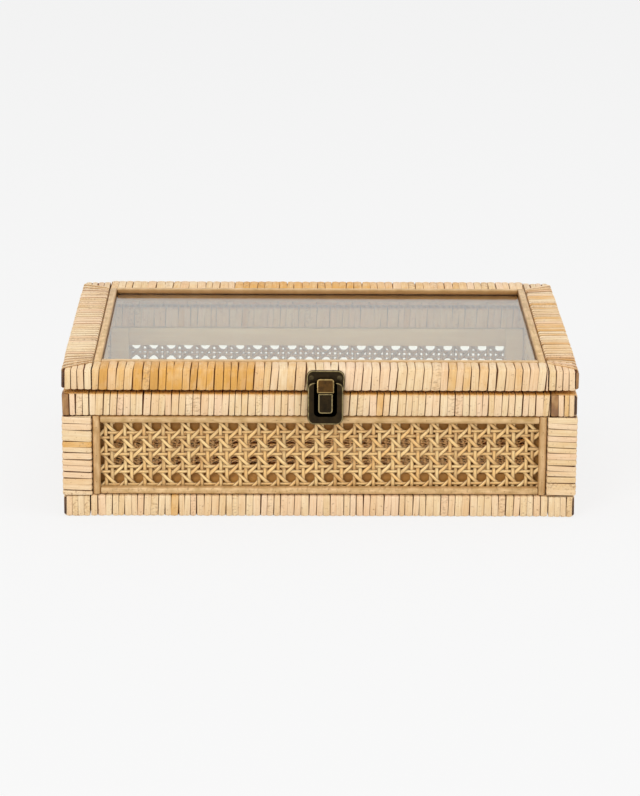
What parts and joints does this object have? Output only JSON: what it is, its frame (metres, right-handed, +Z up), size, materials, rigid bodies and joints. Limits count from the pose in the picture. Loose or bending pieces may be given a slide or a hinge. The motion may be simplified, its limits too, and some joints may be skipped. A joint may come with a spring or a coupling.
{
  "type": "woven lidded box",
  "caption": "Low rectangular cane box: rattan-bound bars, woven cane panels with pinned beads, a hinged glazed lid and a sprung press latch at the front.",
  "frame": {"origin": "middle of the underside, on the surface the box stands on", "axes": "+X to the right along the front, +Y towards the hinges at the back, +Z up"},
  "size_m": [0.34, 0.2525, 0.102],
  "materials": {
    "rattan_binding": "satin",
    "bar_wood": "matte",
    "batten_wood": "matte",
    "bead_rattan": "satin",
    "cane": "satin",
    "floor_wood": "matte",
    "pane_glass": "gloss",
    "antique_brass": "antique",
    "antique_bronze": "antique",
    "spring_steel": "satin"
  },
  "bodies": {
    "base": {"left_bottom_bar": "bar_wood", "right_bottom_bar": "bar_wood", "front_bottom_bar": "bar_wood", "back_bottom_bar": "bar_wood", "left_top_bar": "bar_wood", "right_top_bar": "bar_wood", "front_top_bar": "bar_wood", "back_top_bar": "bar_wood", "front_left_post_bar": "bar_wood", "front_right_post_bar": "bar_wood", "back_left_post_bar": "bar_wood", "back_right_post_bar": "bar_wood", "left_bottom_binding": "rattan_binding", "right_bottom_binding": "rattan_binding", "front_bottom_binding": "rattan_binding", "back_bottom_binding": "rattan_binding", "left_top_binding": "rattan_binding", "right_top_binding": "rattan_binding", "front_top_binding": "rattan_binding", "back_top_binding": "rattan_binding", "front_left_post_binding": "rattan_binding", "front_right_post_binding": "rattan_binding", "back_left_post_binding": "rattan_binding", "back_right_post_binding": "rattan_binding", "front_beads": "bead_rattan", "front_cane": "cane", "front_battens": "batten_wood", "right_beads": "bead_rattan", "right_cane": "cane", "right_battens": "batten_wood", "back_beads": "bead_rattan", "back_cane": "cane", "back_battens": "batten_wood", "left_beads": "bead_rattan", "left_cane": "cane", "left_battens": "batten_wood", "floor_board": "floor_wood", "floor_cane": "cane", "left_hinge_base_leaf": "antique_brass", "left_hinge_pin": "antique_brass", "right_hinge_base_leaf": "antique_brass", "right_hinge_pin": "antique_brass", "latch_plate": "antique_bronze", "lever_pin": "antique_bronze", "latch_spring": "spring_steel"},
    "lid": {"left_lid_bar": "bar_wood", "right_lid_bar": "bar_wood", "front_lid_bar": "bar_wood", "back_lid_bar": "bar_wood", "left_lid_binding": "rattan_binding", "right_lid_binding": "rattan_binding", "front_lid_binding": "rattan_binding", "back_lid_binding": "rattan_binding", "glass_pane": "pane_glass", "lid_upper_beads": "bead_rattan", "lid_lower_beads": "bead_rattan", "left_hinge_lid_leaf": "antique_brass", "right_hinge_lid_leaf": "antique_brass", "catch_plate": "antique_bronze"},
    "lever": {"latch_lever": "antique_bronze"}
  },
  "joints": [
    {"name": "lid_hinge", "type": "hinge", "parent": "base", "child": "lid", "pos_m": [0, 0.1229, 0.0859], "axis": [-1, 0, 0], "range_deg": [0, 110]},
    {"name": "latch_rock", "type": "hinge", "parent": "base", "child": "lever", "pos_m": [0.0035, -0.1222, 0.08375], "axis": [1, 0, 0], "range_deg": [0, 10], "stiffness_Nm_per_rad": 0.02, "springref_deg": -8.59, "deforming": ["latch_spring"]}
  ]
}
